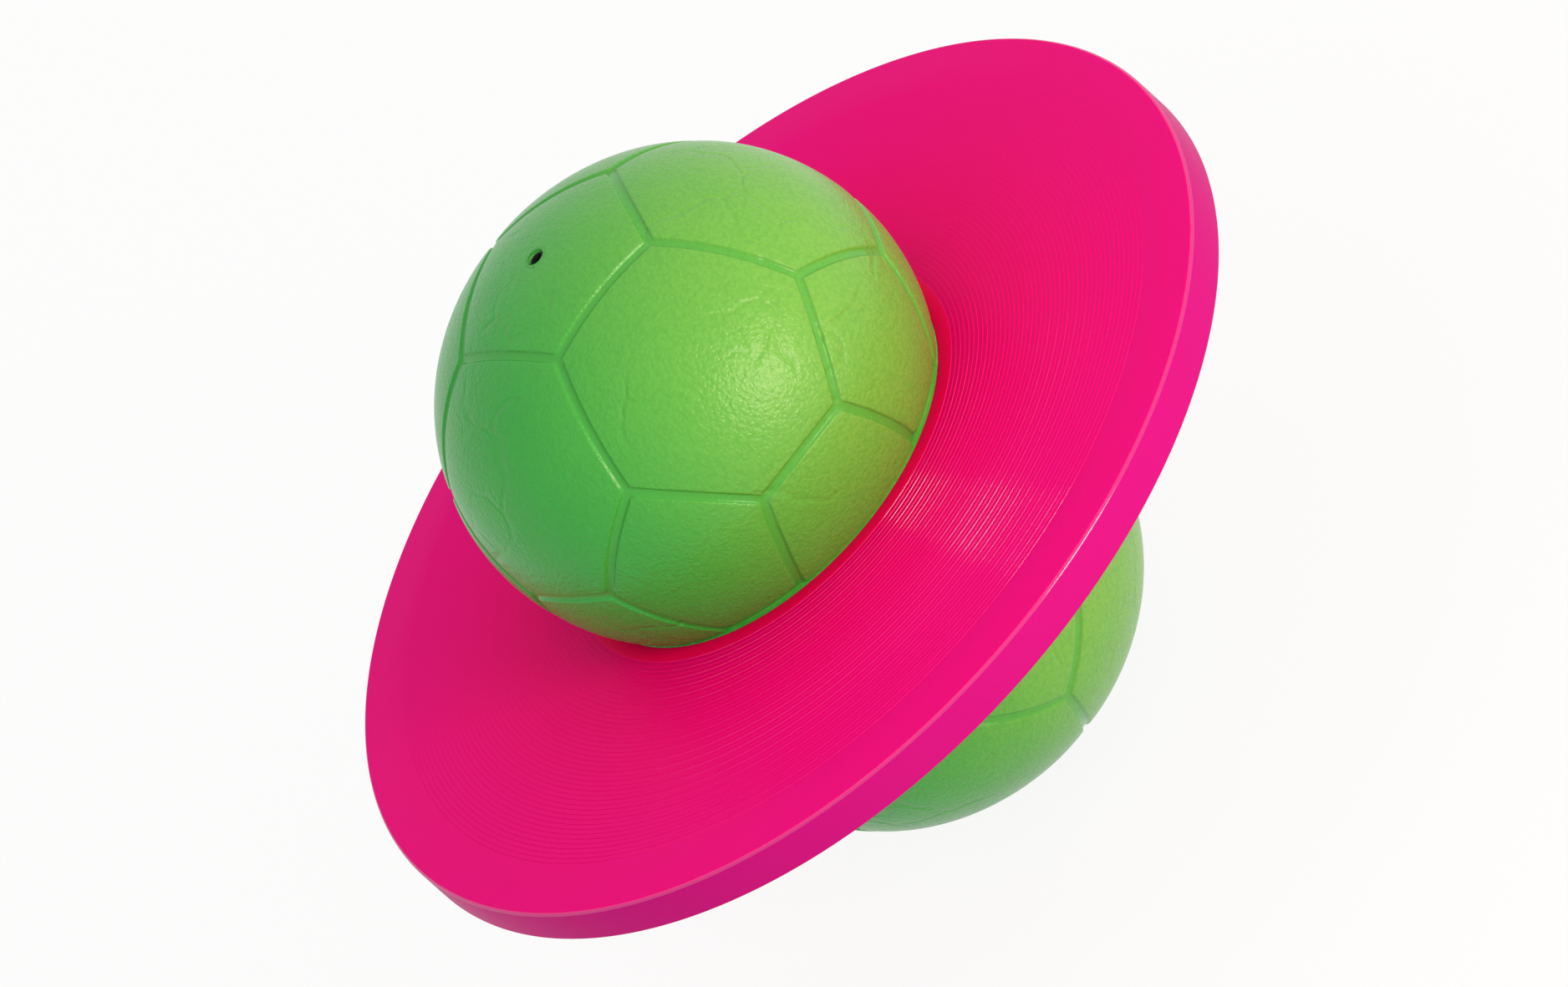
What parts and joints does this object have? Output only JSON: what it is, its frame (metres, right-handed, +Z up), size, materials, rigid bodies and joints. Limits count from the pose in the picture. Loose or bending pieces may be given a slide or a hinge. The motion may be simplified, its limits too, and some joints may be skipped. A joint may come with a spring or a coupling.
{
  "type": "bouncing balance disc",
  "caption": "Round ribbed standing deck gripped in the waist of a soft figure-eight air ball, for standing on, balancing and bouncing.",
  "frame": {"origin": "lowest point of the lower lobe, on the ball's axis", "axes": "+Z up along the ball's axis, from the lower lobe to the upper lobe"},
  "size_m": [0.385, 0.385, 0.289],
  "materials": {
    "deck_plastic": "glossy injection-moulded plastic",
    "ball_skin": "satin soft vinyl with a fine leather grain",
    "valve_rubber": "matte black rubber"
  },
  "bodies": {
    "deck": {"standing_deck": "deck_plastic"},
    "ball_waist": {"waist_neck": "ball_skin"},
    "upper_lobe": {"upper_lobe": "ball_skin", "valve_plug": "valve_rubber"},
    "lower_lobe": {"lower_lobe": "ball_skin"}
  },
  "joints": [
    {"name": "ball_turn", "type": "hinge", "parent": "deck", "child": "ball_waist", "pos_m": [0, 0, 0.1445], "axis": [0, 0, 1], "continuous": true},
    {"name": "lower_lobe_bounce", "type": "slide", "parent": "ball_waist", "child": "lower_lobe", "axis": [0, 0, 1], "range_m": [0, 0.05], "stiffness_N_per_m": 14000, "deforming": ["lower_lobe"]},
    {"name": "upper_lobe_press", "type": "slide", "parent": "ball_waist", "child": "upper_lobe", "axis": [0, 0, -1], "range_m": [0, 0.05], "stiffness_N_per_m": 14000, "deforming": ["upper_lobe"]}
  ]
}
